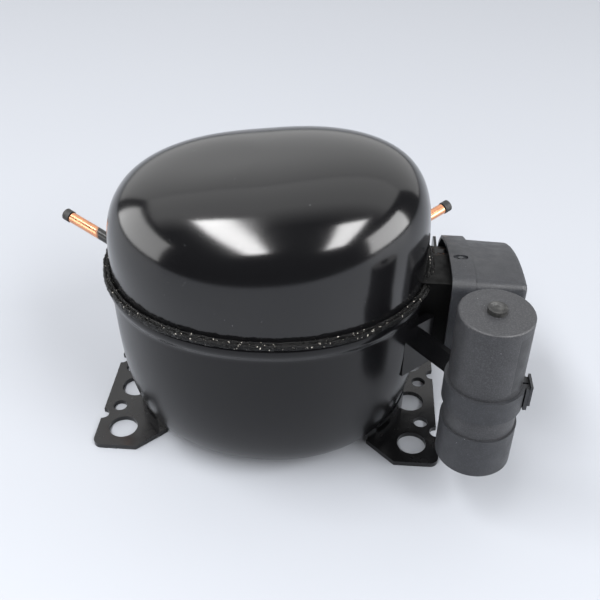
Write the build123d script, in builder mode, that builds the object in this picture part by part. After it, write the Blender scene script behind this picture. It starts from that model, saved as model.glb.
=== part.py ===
from build123d import *
import os
from math import cos, radians, sin, sqrt

# Hermetic reciprocating compressor: an oval welded steel shell on two feet, holding a sprung
# motor and a single-cylinder pump. Millimetres. The origin is under the middle of the base,
# +X runs along the long axis towards the terminal cover, +Y to the back, +Z up.

# ---- driving dimensions: the shell ----
SHELL_LENGTH = 179.0
SHELL_WIDTH = 158.0
SHELL_TOP = 167.0
SHELL_BOTTOM = 5.0
WALL = 3.0
OVAL = SHELL_WIDTH / SHELL_LENGTH
BEAD_RADIUS = SHELL_LENGTH / 2
LIP_RADIUS = BEAD_RADIUS - 1.2
LIP_TOP = 107.0
LIP_FOOT = 100.0
STEP_Z = 101.0
FLARE_Z = 96.5
SIDE_RADIUS = BEAD_RADIUS - 3.3
SIDE_TAPER = 2.3
BOTTOM_CORNER = 30.0
DOME_RADIUS = BEAD_RADIUS - 4.1
DOME_LEAN = 2.0
CROWN_DROP = 5.0
DOME_CORNER = 30.0
BEAD_TOP = 110.3

# ---- driving dimensions: the feet ----
FOOT_PITCH_X = 170.0
FOOT_PITCH_Y = 70.0
FOOT_HOLE = 8.35
GROUND_HOLE = 4.2
GROUND_HOLE_X = 91.0
GROUND_HOLE_Y = 17.5
NOTCH_RADIUS = 4.0
NOTCH_Y = 25.0
BASE_LENGTH = 200.0
BASE_WIDTH = 100.0
PLATE = 3.0
FLANGE_LENGTH = 80.5
FLANGE_WIDTH = 56.0
FLANGE_END_Y = 34.0
FLANGE_TOP = 30.0

# ---- driving dimensions: the motor and pump ----
FIT = 0.03
MOUNT_PITCH = 36.0
STATOR_SIDE = 104.0
STATOR_BOTTOM = 36.0
STATOR_TOP = 80.0
STATOR_BORE = 30.0
AIR_GAP = 0.3
SLOTS = 24
WINDING_RADIUS = 40.0
END_TURN = 13.0
SHAFT_RADIUS = 8.0
SHAFT_FOOT = 30.0
HUB_RADIUS = 15.0
HUB_FOOT = 62.0
DECK_BOTTOM = 98.0
DECK_TOP = 106.0
DECK_SIDE = 92.0
WASHER = 1.0
WEB_RADIUS = 19.0
WEB_TOP = 113.5
THROW = 8.0
CRANKPIN_RADIUS = 6.0
CRANKPIN_TOP = 133.5
CYLINDER_Z = 128.0
BORE_RADIUS = 12.5
BARREL_START = 20.0
FACE_X = 46.0
BARREL_HALF = 21.0
PISTON_CROWN = 44.0
YOKE_RADIUS = 11.0
YOKE_BORE = 8.5
YOKE_LENGTH = 40.0
GASKET = 0.5
VALVE_PLATE = 3.0
HEAD_DEPTH = 14.0
HEAD_SCREW = 16.5
REED = 0.2
SPRING_FOOT = 12.0
SPRING_RADIUS = 8.0
SPRING_WIRE = 1.6
SPRING_TURNS = 5
SPIGOT_RADIUS = 6.9

# ---- driving dimensions: the tubes ----
TUBE_RADIUS = 3.175
TUBE_WALL = 0.75
TUBE_LIFT = 9.0
COLLAR_RADIUS = 5.2
COLLAR_LENGTH = 12.0
PLUG_STEM = TUBE_RADIUS - TUBE_WALL - FIT
PLUG_GRIP = 8.0
PLUG_NECK = 0.7
PLUG_HEAD_RADIUS = 3.6
PLUG_HEAD_LENGTH = 4.8

# ---- driving dimensions: the electrical end ----
TERMINAL_Y = 16.0
TERMINAL_Z = 82.0
TERMINAL_RADIUS = 14.0
PIN_CIRCLE = 7.0
PIN_RADIUS = 1.15
GLASS_RADIUS = 3.0
COVER_START = 97.0
COVER_STEP = 109.0
COVER_END = 136.0
COVER_WALL = 2.0
COVER_TAPER = 2.0
COVER_FRONT = -26.0
COVER_BACK = 53.0
COVER_TOP = 112.5
COVER_BOTTOM = 56.0
COVER_RIM = 2.0
LATCH_PLANE = Plane(origin=(103, -2, 112.83), x_dir=(1, 0, 0), z_dir=(0, 0.16, 1))
LATCH_DEPTH = 1.2
LATCH_LENGTH = 8.0
LATCH_WIDTH = 5.2
LATCH_BUTTON = 1.5
CAPACITOR_RADIUS = 18.25
CAPACITOR_X = 113.0
CAPACITOR_Y = -67.0
CAPACITOR_TOP = 127.5
CAPACITOR_FOOT = 42.0
CUP_RADIUS = 19.3
CUP_TOP = 60.0
CUP_FOOT = 31.5
STRAP_BOTTOM = 73.0
STRAP_TOP = 86.5
STRAP_RADIUS = 20.0
SPLIT_Y = CAPACITOR_Y - 3
SPLIT_WIDTH = 1.2
LUG_DEPTH = 1.8
LUG_WIDTH = 4.2
LUG_X = CAPACITOR_X + STRAP_RADIUS + 0.1
BUCKLE_THICKNESS = 1.2
BUCKLE_WIDTH = 10.0
BUCKLE_BOTTOM = 76.0
BUCKLE_TOP = 88.5
BRACKET_THICKNESS = 3.0
BRACKET_ROOT = (77, -27)
RELAY_START = 95.0
RELAY_DEPTH = 22.0
RELAY_Z = 79.0
BRACKET_PLATE_X = 91.0
PROTECTOR_RADIUS = 8.5
PROTECTOR_SPOT = (97, 41, 76)

MOUNTS = [(x * MOUNT_PITCH, y * MOUNT_PITCH) for x in (-1, 1) for y in (-1, 1)]
FLOOR = SHELL_BOTTOM + WALL


def keep(builder, name):
    """Label a finished piece and write its STEP file."""
    builder.part.label = name
    export_step(builder.part, f"parts/{name}.step")


def rod(radius, start, direction, length):
    """A round bar from a point along a direction."""
    with BuildPart() as piece:
        with BuildSketch(Plane(origin=start, z_dir=direction)):
            Circle(radius)
        extrude(amount=length)
    return piece.part


def hexagon(radius, start, direction, height):
    """A hexagonal screw head standing on a point."""
    with BuildPart() as piece:
        with BuildSketch(Plane(origin=start, z_dir=direction)):
            RegularPolygon(radius, 6)
        extrude(amount=height)
    return piece.part


def along_x(x):
    """Sketch plane square to X, with local x along Y and local y along Z."""
    return Plane(origin=(x, 0, 0), x_dir=(0, 1, 0), z_dir=(1, 0, 0))


def heading(azimuth, lift):
    """Unit vector for a compass angle from +X and a rise above the horizontal."""
    flat = cos(radians(lift))
    return Vector(flat * cos(radians(azimuth)), flat * sin(radians(azimuth)), sin(radians(lift)))


def dome_side(z):
    """Outer radius of the upper shell's leaning side at a height."""
    return DOME_RADIUS - DOME_LEAN * (z - STEP_Z) / (SHELL_TOP - CROWN_DROP - STEP_Z)


def dome_section(inset):
    """Half section of the upper shell, moved inwards by a wall thickness."""
    side_top = SHELL_TOP - CROWN_DROP - inset
    foot = STEP_Z - (1 if inset else 0)
    top_radius = dome_side(side_top) - inset
    with BuildSketch(Plane.XZ) as section:
        with BuildLine():
            Line((0, foot), (DOME_RADIUS - inset, foot))
            Line((DOME_RADIUS - inset, foot), (top_radius, side_top))
            crown_mid = (top_radius / 2, side_top + CROWN_DROP * 0.75)
            ThreePointArc((top_radius, side_top), crown_mid, (0, SHELL_TOP - inset))
            Line((0, SHELL_TOP - inset), (0, foot))
        make_face()
        corner = section.vertices().sort_by_distance((top_radius, side_top))[0]
        fillet(corner, DOME_CORNER - inset)
    return section.sketch


def pan_section(inset):
    """Half section of the lower shell, moved inwards by a wall thickness."""
    bottom_radius = SIDE_RADIUS - SIDE_TAPER - inset
    bottom = SHELL_BOTTOM + inset
    with BuildSketch(Plane.XZ) as section:
        with BuildLine():
            if inset:
                rim = [(SIDE_RADIUS - inset, STEP_Z), (DOME_RADIUS, STEP_Z), (DOME_RADIUS, LIP_TOP + 1)]
            else:
                rim = [(SIDE_RADIUS, FLARE_Z), (LIP_RADIUS, LIP_FOOT), (LIP_RADIUS, LIP_TOP)]
            Polyline((0, bottom), (bottom_radius, bottom), *rim, (0, rim[-1][1]), close=True)
        make_face()
        corner = section.vertices().sort_by_distance((bottom_radius, bottom))[0]
        fillet(corner, BOTTOM_CORNER - inset)
    return section.sketch


with BuildPart() as envelope:
    revolve(pan_section(0), axis=Axis.Z)
    scale(by=(1, OVAL, 1))
OUTSIDE = envelope.part

# Tube name: a point inside the shell wall, compass angle, and length from that point.
TUBES = {
    "suction": (Vector(-76, 17.7, 87.5), 150, 56.0),
    "process": (Vector(62, 43.3, 88.3), 40, 49.0),
    "discharge": (Vector(-58.1, 45.5, 90.0), 115, 48.0),
}


def tube_end(name):
    """Centre of the open end of a tube, and its direction."""
    start, azimuth, length = TUBES[name]
    direction = heading(azimuth, TUBE_LIFT)
    return start + direction * length, direction


# =============================== shell ===============================
os.makedirs("parts", exist_ok=True)

with BuildPart() as lower_shell:
    revolve(pan_section(0), axis=Axis.Z)
    revolve(pan_section(WALL), axis=Axis.Z, mode=Mode.SUBTRACT)
    scale(by=(1, OVAL, 1))
    for start, azimuth, length in TUBES.values():
        add(rod(TUBE_RADIUS, start, heading(azimuth, TUBE_LIFT), length), mode=Mode.SUBTRACT)
    terminal_axis = (70, TERMINAL_Y, TERMINAL_Z)
    add(rod(TERMINAL_RADIUS, terminal_axis, (1, 0, 0), 40), mode=Mode.SUBTRACT)
keep(lower_shell, "lower_shell")

with BuildPart() as upper_shell:
    revolve(dome_section(0), axis=Axis.Z)
    revolve(dome_section(WALL), axis=Axis.Z, mode=Mode.SUBTRACT)
    scale(by=(1, OVAL, 1))
keep(upper_shell, "upper_shell")

with BuildPart() as weld_bead:
    with BuildSketch(Plane.XZ):
        with BuildLine():
            Line((dome_side(BEAD_TOP), BEAD_TOP), (dome_side(LIP_TOP), LIP_TOP))
            Line((dome_side(LIP_TOP), LIP_TOP), (BEAD_RADIUS, LIP_TOP))
            ThreePointArc(
                (BEAD_RADIUS, LIP_TOP),
                (BEAD_RADIUS - 0.8, BEAD_TOP - 0.9),
                (dome_side(BEAD_TOP), BEAD_TOP),
            )
        make_face()
    revolve(axis=Axis.Z)
    scale(by=(1, OVAL, 1))
keep(weld_bead, "weld_bead")


def foot(side):
    """A base foot: a drilled plate with a curved flange that carries the shell."""
    edge = BASE_LENGTH / 2
    back = BASE_WIDTH / 2
    with BuildPart() as piece:
        with BuildSketch():
            with BuildLine():
                Polyline(
                    (edge, -back), (74.5, -back), (56, -32), (56, 32), (74.5, back), (edge, back),
                    close=True,
                )
            make_face()
            Ellipse(FLANGE_LENGTH - PLATE, FLANGE_WIDTH - PLATE, mode=Mode.SUBTRACT)
            with Locations((edge, -NOTCH_Y), (edge, NOTCH_Y)):
                Circle(NOTCH_RADIUS, mode=Mode.SUBTRACT)
        extrude(amount=PLATE)
        corners = piece.edges().filter_by(Axis.Z).group_by(Axis.X)[-1]
        fillet([corners.sort_by(Axis.Y)[0], corners.sort_by(Axis.Y)[-1]], 5)
        with BuildSketch():
            Ellipse(FLANGE_LENGTH, FLANGE_WIDTH)
            Ellipse(FLANGE_LENGTH - PLATE, FLANGE_WIDTH - PLATE, mode=Mode.SUBTRACT)
            with Locations((FLANGE_LENGTH / 2 + 22, 0)):
                Rectangle(FLANGE_LENGTH - 40, 2 * FLANGE_END_Y, mode=Mode.INTERSECT)
        extrude(amount=FLANGE_TOP)
        with Locations((FOOT_PITCH_X / 2, -FOOT_PITCH_Y / 2), (FOOT_PITCH_X / 2, 0),
                       (FOOT_PITCH_X / 2, FOOT_PITCH_Y / 2)):
            Cylinder(FOOT_HOLE, 3 * PLATE, mode=Mode.SUBTRACT)
        with Locations((GROUND_HOLE_X, -GROUND_HOLE_Y), (GROUND_HOLE_X, GROUND_HOLE_Y)):
            Cylinder(GROUND_HOLE, 3 * PLATE, mode=Mode.SUBTRACT)
        for end in (-1, 1):
            with BuildSketch(Plane(origin=(55, end * 22, 10), x_dir=(0, 1, 0), z_dir=(1, end * 0.5, 0))):
                SlotOverall(12, 5)
            extrude(amount=40, mode=Mode.SUBTRACT)
        add(OUTSIDE, mode=Mode.SUBTRACT)
        if side < 0:
            mirror(about=Plane.YZ, mode=Mode.REPLACE)
    return piece


right_foot = foot(1)
keep(right_foot, "right_foot")
left_foot = foot(-1)
keep(left_foot, "left_foot")

with BuildPart() as spring_studs:
    with Locations(*[(x, y, FLOOR) for x, y in MOUNTS]):
        Cylinder(SPRING_RADIUS + 1.2, SPRING_FOOT - FLOOR, align=(Align.CENTER, Align.CENTER, Align.MIN))
        Cylinder(SPIGOT_RADIUS, 22 - FLOOR, align=(Align.CENTER, Align.CENTER, Align.MIN))
    add(lower_shell.part, mode=Mode.SUBTRACT)
    chamfer(spring_studs.faces().group_by(Axis.Z)[-1].edges(), 1.5)
keep(spring_studs, "spring_studs")

# =============================== tubes ===============================
collars = []
for tube_name, (start, azimuth, length) in TUBES.items():
    direction = heading(azimuth, TUBE_LIFT)
    with BuildPart() as tube:
        add(rod(TUBE_RADIUS, start, direction, length))
        add(rod(TUBE_RADIUS - TUBE_WALL, start - direction, direction, length + 2), mode=Mode.SUBTRACT)
    keep(tube, f"{tube_name}_tube")
    with BuildPart() as collar:
        add(rod(COLLAR_RADIUS, start, direction, COLLAR_LENGTH + 8))
        add(OUTSIDE, mode=Mode.SUBTRACT)
        add(rod(TUBE_RADIUS, start - direction, direction, length), mode=Mode.SUBTRACT)
    collars.append(collar.part)
    end, direction = tube_end(tube_name)
    with BuildPart() as plug:
        add(rod(PLUG_STEM, end - direction * PLUG_GRIP, direction, PLUG_GRIP + PLUG_NECK))
        add(rod(PLUG_HEAD_RADIUS, end + direction * PLUG_NECK, direction, PLUG_HEAD_LENGTH))
        chamfer(plug.faces().sort_by_distance(end + direction * 20)[0].edges(), 0.4)
    keep(plug, f"{tube_name}_plug")

with BuildPart() as tube_collars:
    for collar_part in collars:
        add(collar_part)
keep(tube_collars, "tube_collars")

# =============================== motor ===============================
with BuildPart() as stator_core:
    with BuildSketch(Plane.XY.offset(STATOR_BOTTOM)):
        Rectangle(STATOR_SIDE, STATOR_SIDE)
        chamfer(vertices(), 9)
        Circle(STATOR_BORE, mode=Mode.SUBTRACT)
        with PolarLocations(36, SLOTS):
            Rectangle(10, 4, mode=Mode.SUBTRACT)
        with PolarLocations(31, SLOTS):
            Rectangle(4, 1.6, mode=Mode.SUBTRACT)
        with Locations(*MOUNTS):
            Circle(2.5, mode=Mode.SUBTRACT)
    extrude(amount=STATOR_TOP - STATOR_BOTTOM)
keep(stator_core, "stator_core")

with BuildPart() as stator_winding:
    for base in (STATOR_BOTTOM - END_TURN, STATOR_TOP):
        with BuildSketch(Plane.XY.offset(base)):
            Circle(WINDING_RADIUS)
            Circle(STATOR_BORE + 1.8, mode=Mode.SUBTRACT)
        extrude(amount=END_TURN)
    fillet(stator_winding.edges().group_by(Axis.Z)[-1], 3)
    fillet(stator_winding.edges().group_by(Axis.Z)[0], 3)
    with BuildSketch(Plane.XY.offset(STATOR_BOTTOM)):
        with PolarLocations(36, SLOTS):
            Rectangle(7.6, 3.2)
    extrude(amount=STATOR_TOP - STATOR_BOTTOM)
keep(stator_winding, "stator_winding")

with BuildPart() as stator_bolts:
    with Locations(*[(x, y, STATOR_BOTTOM) for x, y in MOUNTS]):
        Cylinder(2.5, 58, align=(Align.CENTER, Align.CENTER, Align.MIN))
        Cylinder(5.3, 4.5, align=(Align.CENTER, Align.CENTER, Align.MAX))
keep(stator_bolts, "stator_bolts")

with BuildPart() as spring_caps:
    with Locations(*[(x, y, STATOR_BOTTOM) for x, y in MOUNTS]):
        Cylinder(SPIGOT_RADIUS, 9.5, align=(Align.CENTER, Align.CENTER, Align.MAX))
        Cylinder(5.3, 4.5, align=(Align.CENTER, Align.CENTER, Align.MAX), mode=Mode.SUBTRACT)
    chamfer(spring_caps.faces().group_by(Axis.Z)[0].edges(), 1.5)
keep(spring_caps, "spring_caps")

with BuildPart() as one_spring:
    spring_height = STATOR_BOTTOM - SPRING_FOOT - SPRING_WIRE
    with BuildLine() as coil:
        Helix(spring_height / SPRING_TURNS, spring_height, SPRING_RADIUS)
    with BuildSketch(coil.line ^ 0):
        Circle(SPRING_WIRE / 2)
    sweep(is_frenet=True)
coil_part = one_spring.part
with BuildPart() as suspension_springs:
    for x, y in MOUNTS:
        add(coil_part.moved(Location((x, y, SPRING_FOOT + SPRING_WIRE / 2))))
keep(suspension_springs, "suspension_springs")

with BuildPart() as rotor_core:
    with BuildSketch(Plane.XY.offset(STATOR_BOTTOM)):
        Circle(STATOR_BORE - AIR_GAP)
        Circle(SHAFT_RADIUS, mode=Mode.SUBTRACT)
        with PolarLocations(25.5, 18):
            Circle(2.2, mode=Mode.SUBTRACT)
    extrude(amount=STATOR_TOP - STATOR_BOTTOM)
    with Locations((0, 0, STATOR_TOP)):
        Cylinder(HUB_RADIUS + 2, STATOR_TOP - HUB_FOOT + 2, mode=Mode.SUBTRACT,
                 align=(Align.CENTER, Align.CENTER, Align.MAX))
keep(rotor_core, "rotor_core")

with BuildPart() as rotor_cage:
    for base in (STATOR_BOTTOM - 7, STATOR_TOP):
        with BuildSketch(Plane.XY.offset(base)):
            Circle(29)
            Circle(21, mode=Mode.SUBTRACT)
        extrude(amount=7)
    with BuildSketch(Plane.XY.offset(STATOR_BOTTOM)):
        with PolarLocations(25.5, 18):
            Circle(2.2)
    extrude(amount=STATOR_TOP - STATOR_BOTTOM)
keep(rotor_cage, "rotor_cage")

# =============================== pump ===============================
with BuildPart() as cylinder_block:
    with BuildSketch(Plane.XY.offset(DECK_BOTTOM)):
        RectangleRounded(DECK_SIDE, DECK_SIDE, 12)
    extrude(amount=DECK_TOP - DECK_BOTTOM)
    with Locations(*[(x, y, STATOR_TOP) for x, y in MOUNTS]):
        Box(13, 13, DECK_BOTTOM - STATOR_TOP, align=(Align.CENTER, Align.CENTER, Align.MIN))
    with Locations((0, 0, HUB_FOOT)):
        Cylinder(HUB_RADIUS, DECK_TOP - HUB_FOOT, align=(Align.CENTER, Align.CENTER, Align.MIN))
    with Locations(((BARREL_START + FACE_X) / 2, 0, (DECK_TOP - 2 + CYLINDER_Z + BARREL_HALF) / 2)):
        Box(FACE_X - BARREL_START, 2 * BARREL_HALF, CYLINDER_Z + BARREL_HALF - DECK_TOP + 2)
    fillet(cylinder_block.edges().filter_by(Axis.X).group_by(Axis.Z)[-1], 6)
    add(rod(SHAFT_RADIUS + FIT, (0, 0, HUB_FOOT - 1), (0, 0, 1), 60), mode=Mode.SUBTRACT)
    add(rod(BORE_RADIUS + FIT, (BARREL_START - 1, 0, CYLINDER_Z), (1, 0, 0), 40), mode=Mode.SUBTRACT)
    for x, y in MOUNTS:
        add(rod(2.5, (x, y, STATOR_TOP - 1), (0, 0, 1), 15), mode=Mode.SUBTRACT)
    for y in (-HEAD_SCREW, HEAD_SCREW):
        for z in (-HEAD_SCREW, HEAD_SCREW):
            add(rod(2, (FACE_X - 12, y, CYLINDER_Z + z), (1, 0, 0), 20), mode=Mode.SUBTRACT)
    add(rod(2, (30, 36, DECK_BOTTOM - 1), (0, 0, 1), 12), mode=Mode.SUBTRACT)
keep(cylinder_block, "cylinder_block")


def head_outline():
    """Square face of the cylinder head with four screw holes, centred on the bore."""
    with BuildSketch() as face:
        with Locations((0, CYLINDER_Z)):
            RectangleRounded(2 * BARREL_HALF, 2 * BARREL_HALF, 6)
            with GridLocations(2 * HEAD_SCREW, 2 * HEAD_SCREW, 2, 2):
                Circle(2, mode=Mode.SUBTRACT)
    return face.sketch


def chambers():
    """Suction chamber at -Y and discharge chamber at +Y, split by a rib."""
    with BuildSketch() as face:
        with Locations((-7, CYLINDER_Z), (7, CYLINDER_Z)):
            Rectangle(12, 24)
        fillet(face.vertices(), 2)
    return face.sketch


PLATE_X = FACE_X + GASKET
HEAD_GASKET_X = PLATE_X + VALVE_PLATE
HEAD_X = HEAD_GASKET_X + GASKET
SUCTION_REED_Y = -3.5
DISCHARGE_REED_Y = 6.5

with BuildPart() as cylinder_gasket:
    with BuildSketch(along_x(FACE_X)):
        add(head_outline())
        with Locations((0, CYLINDER_Z)):
            Circle(BORE_RADIUS + FIT, mode=Mode.SUBTRACT)
        with Locations((SUCTION_REED_Y, CYLINDER_Z + 13)):
            Rectangle(7, 8, mode=Mode.SUBTRACT)
    extrude(amount=GASKET)
keep(cylinder_gasket, "cylinder_gasket")

with BuildPart() as valve_plate:
    with BuildSketch(along_x(PLATE_X)):
        add(head_outline())
        with Locations((SUCTION_REED_Y, CYLINDER_Z - 3)):
            Circle(2.0, mode=Mode.SUBTRACT)
        with Locations((DISCHARGE_REED_Y, CYLINDER_Z - 4)):
            Circle(1.8, mode=Mode.SUBTRACT)
    extrude(amount=VALVE_PLATE)
keep(valve_plate, "valve_plate")

with BuildPart() as head_gasket:
    with BuildSketch(along_x(HEAD_GASKET_X)):
        add(head_outline())
        add(chambers(), mode=Mode.SUBTRACT)
    extrude(amount=GASKET)
keep(head_gasket, "head_gasket")

with BuildPart() as cylinder_head:
    with BuildSketch(along_x(HEAD_X)):
        add(head_outline())
    extrude(amount=HEAD_DEPTH)
    with BuildSketch(along_x(HEAD_X)):
        add(chambers())
    extrude(amount=HEAD_DEPTH - 5, mode=Mode.SUBTRACT)
    add(rod(4, (HEAD_X + 4.5, -BARREL_HALF - 1, CYLINDER_Z), (0, 1, 0), 12), mode=Mode.SUBTRACT)
    fillet(cylinder_head.edges().group_by(Axis.X)[-1].filter_by(GeomType.LINE), 2)
keep(cylinder_head, "cylinder_head")

with BuildPart() as head_screws:
    for y in (-HEAD_SCREW, HEAD_SCREW):
        for z in (-HEAD_SCREW, HEAD_SCREW):
            add(rod(2, (FACE_X - 11, y, CYLINDER_Z + z), (1, 0, 0), HEAD_X + HEAD_DEPTH - FACE_X + 11))
            add(hexagon(3.8, (HEAD_X + HEAD_DEPTH, y, CYLINDER_Z + z), (1, 0, 0), 3))
keep(head_screws, "head_screws")

with BuildPart() as suction_reed:
    with BuildSketch(along_x(PLATE_X - REED)):
        with Locations((SUCTION_REED_Y, CYLINDER_Z + 4)):
            SlotOverall(24, 6, rotation=90)
    extrude(amount=REED)
keep(suction_reed, "suction_reed")

with BuildPart() as discharge_reed:
    with BuildSketch(along_x(HEAD_GASKET_X)):
        with Locations((DISCHARGE_REED_Y, CYLINDER_Z)):
            SlotOverall(18, 6, rotation=90)
    extrude(amount=REED)
keep(discharge_reed, "discharge_reed")

with BuildPart() as valve_stop:
    with BuildSketch(along_x(HEAD_GASKET_X)):
        with Locations((DISCHARGE_REED_Y, CYLINDER_Z + 10.5)):
            Rectangle(7, 2.4)
    extrude(amount=2.9)
    with BuildSketch(along_x(HEAD_GASKET_X + 2)):
        with Locations((DISCHARGE_REED_Y, CYLINDER_Z + 1.5)):
            Rectangle(7, 20.4)
    extrude(amount=0.9)
keep(valve_stop, "valve_stop")

MUFFLER_X = (30.0, 56.0)
MUFFLER_Y = (-43.0, -24.0)
MUFFLER_Z = (108.0, 142.0)


def muffler_box(inset):
    """The suction muffler's rounded block, shrunk by a wall on every side."""
    with BuildPart() as block:
        with BuildSketch(Plane.XY.offset(MUFFLER_Z[0] + inset)):
            with Locations((sum(MUFFLER_X) / 2, sum(MUFFLER_Y) / 2)):
                RectangleRounded(MUFFLER_X[1] - MUFFLER_X[0] - 2 * inset,
                                 MUFFLER_Y[1] - MUFFLER_Y[0] - 2 * inset, 7 - inset)
        extrude(amount=MUFFLER_Z[1] - MUFFLER_Z[0] - 2 * inset)
    return block.part


with BuildPart() as suction_muffler:
    neck_x = HEAD_X + 4.5
    add(muffler_box(0))
    add(rod(3.9, (neck_x, MUFFLER_Y[1] - 6, CYLINDER_Z), (0, 1, 0), 17))
    add(rod(5, (MUFFLER_X[0] - 6, -33.5, 130), (1, 0, 0), 8))
    add(muffler_box(1.6), mode=Mode.SUBTRACT)
    add(rod(2.6, (neck_x, MUFFLER_Y[1] - 7, CYLINDER_Z), (0, 1, 0), 30), mode=Mode.SUBTRACT)
    add(rod(3.4, (MUFFLER_X[0] - 7, -33.5, 130), (1, 0, 0), 10), mode=Mode.SUBTRACT)
keep(suction_muffler, "suction_muffler")

with BuildPart() as discharge_muffler:
    add(rod(13, (30, 36, DECK_TOP), (0, 0, 1), 16))
    fillet(discharge_muffler.edges().group_by(Axis.Z)[-1], 3)
    add(rod(11.5, (30, 36, DECK_TOP), (0, 0, 1), 14), mode=Mode.SUBTRACT)
    add(rod(2, (30, 36, DECK_TOP), (0, 0, 1), 20), mode=Mode.SUBTRACT)
keep(discharge_muffler, "discharge_muffler")

with BuildPart() as muffler_bolt:
    add(rod(2, (30, 36, DECK_BOTTOM), (0, 0, 1), DECK_TOP + 16 - DECK_BOTTOM))
    add(hexagon(3.6, (30, 36, DECK_TOP + 16), (0, 0, 1), 3))
keep(muffler_bolt, "muffler_bolt")

with BuildPart() as discharge_line:
    line_end = TUBES["discharge"][0]
    approach = line_end - heading(115, TUBE_LIFT) * 5
    with BuildLine() as route:
        FilletPolyline(
            (36, 42, DECK_TOP + 15.5), (36, 42, 138), (approach.X, approach.Y, 138),
            (approach.X, approach.Y, approach.Z), (line_end.X, line_end.Y, line_end.Z),
            radius=(9, 9, 2.2),
        )
    with BuildSketch(Plane(origin=(36, 42, DECK_TOP + 15.5), z_dir=(0, 0, 1))):
        Circle(2.2)
    sweep()
    add(discharge_muffler.part, mode=Mode.SUBTRACT)
keep(discharge_line, "discharge_line")

# =============================== crank train ===============================
with BuildPart() as crankshaft:
    web_foot = DECK_TOP + WASHER
    add(rod(SHAFT_RADIUS, (0, 0, SHAFT_FOOT), (0, 0, 1), WEB_TOP - SHAFT_FOOT))
    with BuildSketch(Plane.XY.offset(web_foot)):
        Circle(WEB_RADIUS)
        with Locations((WEB_RADIUS, WEB_RADIUS + 1), (WEB_RADIUS, -WEB_RADIUS - 1)):
            Rectangle(30, 20, mode=Mode.SUBTRACT)
    extrude(amount=WEB_TOP - web_foot)
    add(rod(CRANKPIN_RADIUS, (THROW, 0, WEB_TOP), (0, 0, 1), CRANKPIN_TOP - WEB_TOP))
    add(rod(5, (0, 0, SHAFT_FOOT - 1), (0, 0, 1), 11), mode=Mode.SUBTRACT)
    add(rod(2, (0, 0, SHAFT_FOOT), (0, 0, 1), 70), mode=Mode.SUBTRACT)
    add(rod(1.65, (THROW / 2, 0, CRANKPIN_TOP - 4), (0, 0, 1), 5), mode=Mode.SUBTRACT)
keep(crankshaft, "crankshaft")

with BuildPart() as oil_plug:
    add(rod(1.6, (THROW / 2, 0, CRANKPIN_TOP - 3.9), (0, 0, 1), 3.9))
keep(oil_plug, "oil_plug")

with BuildPart() as oil_pickup:
    with BuildSketch(Plane.XZ):
        with BuildLine():
            Polyline((2.2, SHAFT_FOOT + 9), (5, SHAFT_FOOT + 9), (5, SHAFT_FOOT - 2), (3, 12),
                     (1.4, 12), (2.2, SHAFT_FOOT - 2), close=True)
        make_face()
    revolve(axis=Axis.Z)
keep(oil_pickup, "oil_pickup")

with BuildPart() as thrust_washer:
    with BuildSketch(Plane.XY.offset(DECK_TOP)):
        Circle(13)
        Circle(SHAFT_RADIUS + 0.3, mode=Mode.SUBTRACT)
    extrude(amount=WASHER - 0.05)
keep(thrust_washer, "thrust_washer")

with BuildPart() as slide_block:
    add(rod(YOKE_BORE, (THROW, -10, CYLINDER_Z), (0, 1, 0), 20))
    add(rod(CRANKPIN_RADIUS + FIT, (THROW, 0, CYLINDER_Z - 10), (0, 0, 1), 20), mode=Mode.SUBTRACT)
keep(slide_block, "slide_block")

with BuildPart() as slide_yoke:
    add(rod(YOKE_RADIUS, (THROW, -YOKE_LENGTH / 2, CYLINDER_Z), (0, 1, 0), YOKE_LENGTH))
    add(rod(9, (THROW, 0, CYLINDER_Z), (1, 0, 0), BARREL_START - THROW))
    add(rod(YOKE_BORE + FIT, (THROW, -30, CYLINDER_Z), (0, 1, 0), 60), mode=Mode.SUBTRACT)
    with BuildSketch(Plane.XY.offset(CYLINDER_Z - YOKE_RADIUS - 1)):
        with Locations((THROW, 0)):
            SlotOverall(2 * THROW + 13.4, 12.4, rotation=90)
    extrude(amount=YOKE_RADIUS, mode=Mode.SUBTRACT)
keep(slide_yoke, "slide_yoke")

with BuildPart() as piston:
    add(rod(BORE_RADIUS, (BARREL_START, 0, CYLINDER_Z), (1, 0, 0), PISTON_CROWN - BARREL_START))
    for groove in (30, 38):
        with BuildSketch(along_x(groove)):
            with Locations((0, CYLINDER_Z)):
                Circle(BORE_RADIUS + 1)
                Circle(BORE_RADIUS - 0.5, mode=Mode.SUBTRACT)
        extrude(amount=1.2, mode=Mode.SUBTRACT)
keep(piston, "piston")

# =============================== electrical end ===============================
PIN_SPOTS = [
    (TERMINAL_Y + PIN_CIRCLE * cos(radians(a)), TERMINAL_Z + PIN_CIRCLE * sin(radians(a)))
    for a in (90, 210, 330)
]

with BuildPart() as terminal_body:
    with BuildSketch(along_x(79)):
        with Locations((TERMINAL_Y, TERMINAL_Z)):
            Circle(TERMINAL_RADIUS)
        with Locations(*PIN_SPOTS):
            Circle(GLASS_RADIUS, mode=Mode.SUBTRACT)
    extrude(amount=10)
keep(terminal_body, "terminal_body")

with BuildPart() as glass_beads:
    with BuildSketch(along_x(79.5)):
        with Locations(*PIN_SPOTS):
            Circle(GLASS_RADIUS)
            Circle(PIN_RADIUS, mode=Mode.SUBTRACT)
    extrude(amount=9)
keep(glass_beads, "glass_beads")

with BuildPart() as terminal_pins:
    with BuildSketch(along_x(70)):
        with Locations(*PIN_SPOTS):
            Circle(PIN_RADIUS)
    extrude(amount=31)
keep(terminal_pins, "terminal_pins")

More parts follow.
